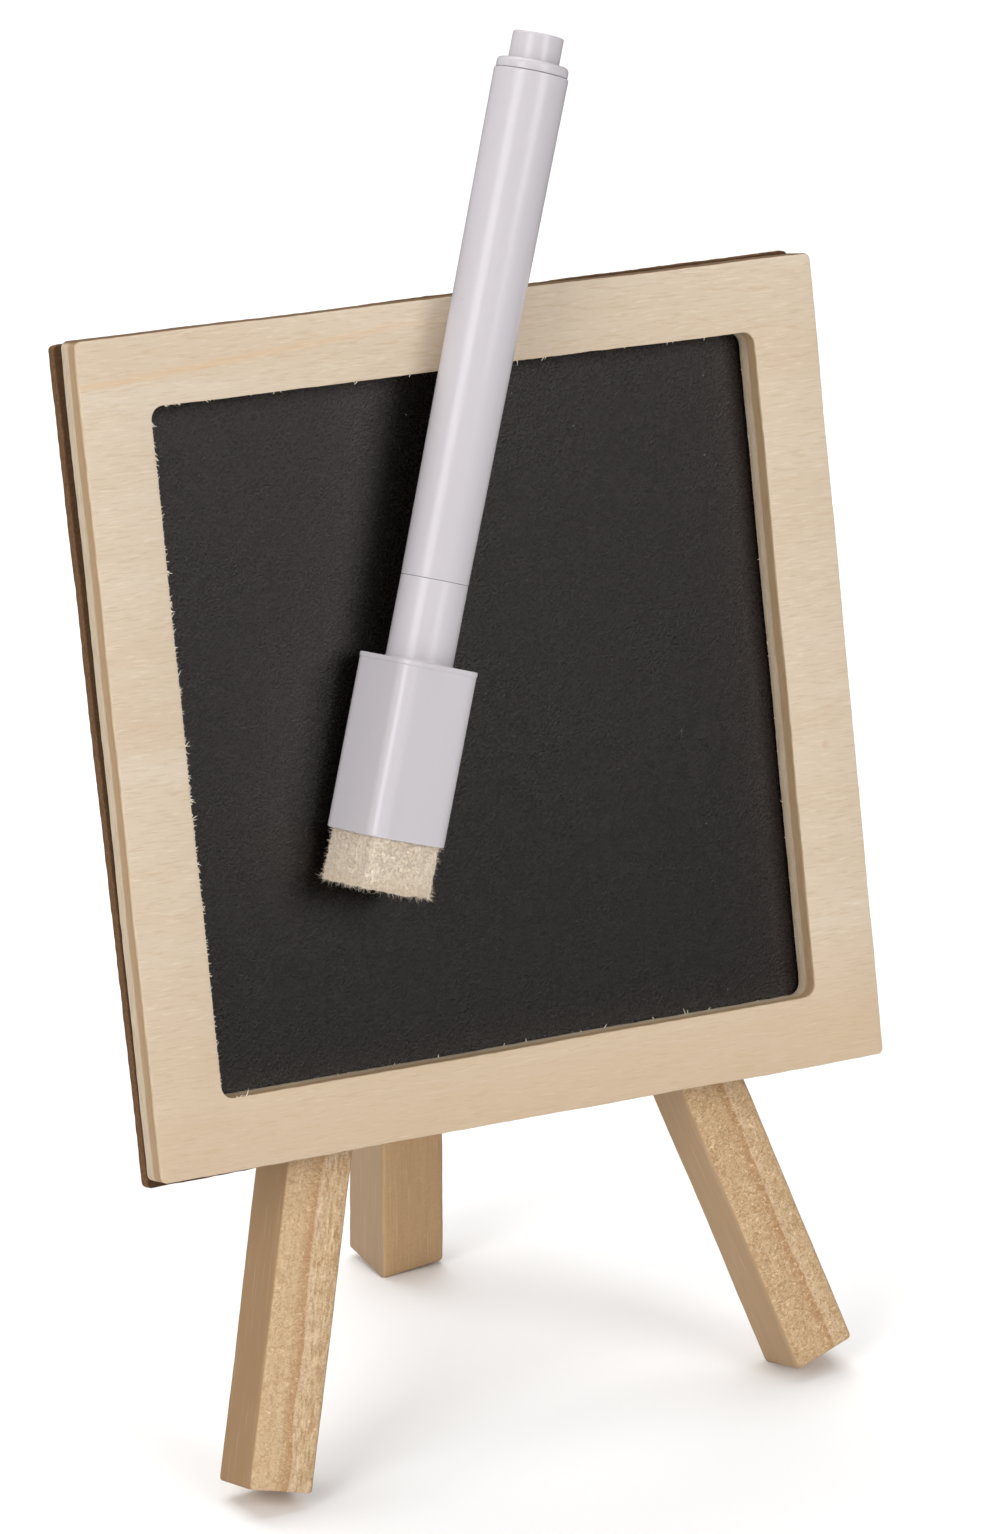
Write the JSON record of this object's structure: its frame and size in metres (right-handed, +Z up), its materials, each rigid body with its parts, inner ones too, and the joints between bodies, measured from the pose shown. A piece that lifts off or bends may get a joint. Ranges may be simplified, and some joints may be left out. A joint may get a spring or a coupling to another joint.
{
  "type": "menu chalkboard easel",
  "caption": "Table-top menu chalkboard in a plywood frame on a three-legged wooden easel with a hinged rear leg and a magnetic marker with a felt eraser cap.",
  "frame": {"origin": "centre of the bounding box, on the surface that the three feet stand on", "axes": "+Z up, -Y towards the reader of the board, +X to the reader's right"},
  "size_m": [0.125, 0.0768, 0.2059],
  "materials": {
    "plywood": "bare sanded light plywood",
    "painted_steel": "matt black speckled paint",
    "hardboard": "brown hardboard",
    "leg_wood": "bare sawn and sanded tan wood",
    "hinge_steel": "brassed sheet metal",
    "bright_steel": "bright wire",
    "white_plastic": "glossy off-white moulding",
    "black_plastic": "matt moulding",
    "wool_felt": "cream pressed felt",
    "fibre": "ink-stained fibre",
    "magnet_metal": "nickel plated"
  },
  "bodies": {
    "board_stand": {"front_frame": "plywood", "chalkboard_sheet": "painted_steel", "backing_board": "hardboard", "left_leg": "leg_wood", "right_leg": "leg_wood", "left_leg_brad_1": "bright_steel", "left_leg_brad_2": "bright_steel", "right_leg_brad_1": "bright_steel", "right_leg_brad_2": "bright_steel", "hinge_fixed_leaf": "hinge_steel", "hinge_pin": "bright_steel", "fixed_leaf_screw_left": "hinge_steel", "fixed_leaf_screw_right": "hinge_steel"},
    "rear_leg": {"rear_leg": "leg_wood", "hinge_moving_leaf": "hinge_steel", "moving_leaf_screw_left": "hinge_steel", "moving_leaf_screw_right": "hinge_steel"},
    "pen_cap": {"cap_block": "white_plastic", "cap_magnet": "magnet_metal", "eraser_felt": "wool_felt"},
    "pen": {"pen_barrel": "white_plastic", "nib_holder": "black_plastic", "pen_nib": "fibre", "ink_reservoir": "fibre", "end_plug": "white_plastic"}
  },
  "joints": [
    {"name": "rear_leg_fold", "type": "hinge", "parent": "board_stand", "child": "rear_leg", "pos_m": [0.0017, 0.00644, 0.12589], "axis": [0.9976, 0.0176, 0.0675], "range_deg": [-23.2, 0]},
    {"name": "pen_lift", "type": "slide", "parent": "board_stand", "child": "pen_cap", "axis": [0, -0.9677, 0.252], "range_m": [0, 0.06]},
    {"name": "pen_uncap", "type": "slide", "parent": "pen_cap", "child": "pen", "axis": [0.3368, 0.1948, 0.9212], "range_m": [0, 0.045]}
  ]
}
